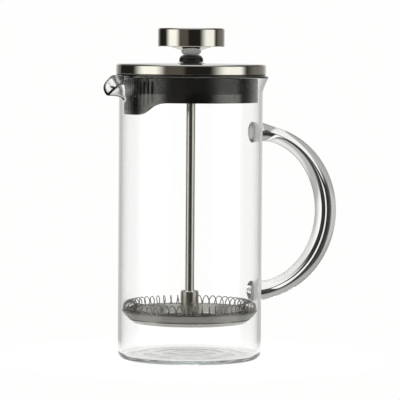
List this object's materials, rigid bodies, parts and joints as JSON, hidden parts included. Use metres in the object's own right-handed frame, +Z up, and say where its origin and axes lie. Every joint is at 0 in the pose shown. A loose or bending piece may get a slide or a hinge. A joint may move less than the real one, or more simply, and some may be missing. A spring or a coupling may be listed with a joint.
{
  "type": "french press",
  "caption": "Cylindrical glass french press with fused D handle and pulled spout, steel-capped lid with strainer skirt, and knobbed plunger with coil-edged mesh filter.",
  "frame": {"origin": "centre of the beaker's flat base, on the table", "axes": "+Z up along the beaker's axis, +X towards the handle, -X towards the spout, +Y across both"},
  "size_m": [0.1267, 0.0776, 0.1657],
  "materials": {
    "glass": "clear polished borosilicate",
    "glass_handle": "clear solid glass rod",
    "mirror_steel": "mirror-polished steel",
    "plain_steel": "bright drawn steel",
    "spring_steel": "bright spring wire",
    "mesh_steel": "fine woven steel wire",
    "black_plastic": "fine satin moulding",
    "grey_plastic": "satin moulding",
    "core_plastic": "plain moulding, hidden",
    "brass": "machined, hidden"
  },
  "bodies": {
    "beaker": {"beaker": "glass", "handle": "glass_handle"},
    "bush": {"guide_bush": "black_plastic", "bush_retaining_ring": "plain_steel"},
    "lid": {"lid_cap": "mirror_steel", "lid_liner": "black_plastic"},
    "plunger": {"plunger_rod": "plain_steel", "knob_shell": "mirror_steel", "knob_base_plate": "mirror_steel", "knob_core": "core_plastic", "knob_insert": "brass", "knob_collar": "grey_plastic", "filter_hub": "plain_steel", "hub_washer": "plain_steel", "spiral_plate": "plain_steel", "filter_spring": "spring_steel", "filter_mesh": "mesh_steel", "cross_plate": "mirror_steel", "cross_plate_nut": "plain_steel"}
  },
  "joints": [
    {"name": "lid_lift", "type": "slide", "parent": "beaker", "child": "bush", "axis": [0, 0, 1], "range_m": [0, 0.135]},
    {"name": "lid_turn", "type": "hinge", "parent": "bush", "child": "lid", "pos_m": [0, 0, 0.1457], "axis": [0, 0, 1], "continuous": true},
    {"name": "plunger_slide", "type": "slide", "parent": "bush", "child": "plunger", "axis": [0, 0, 1], "range_m": [0, 0.092]}
  ]
}
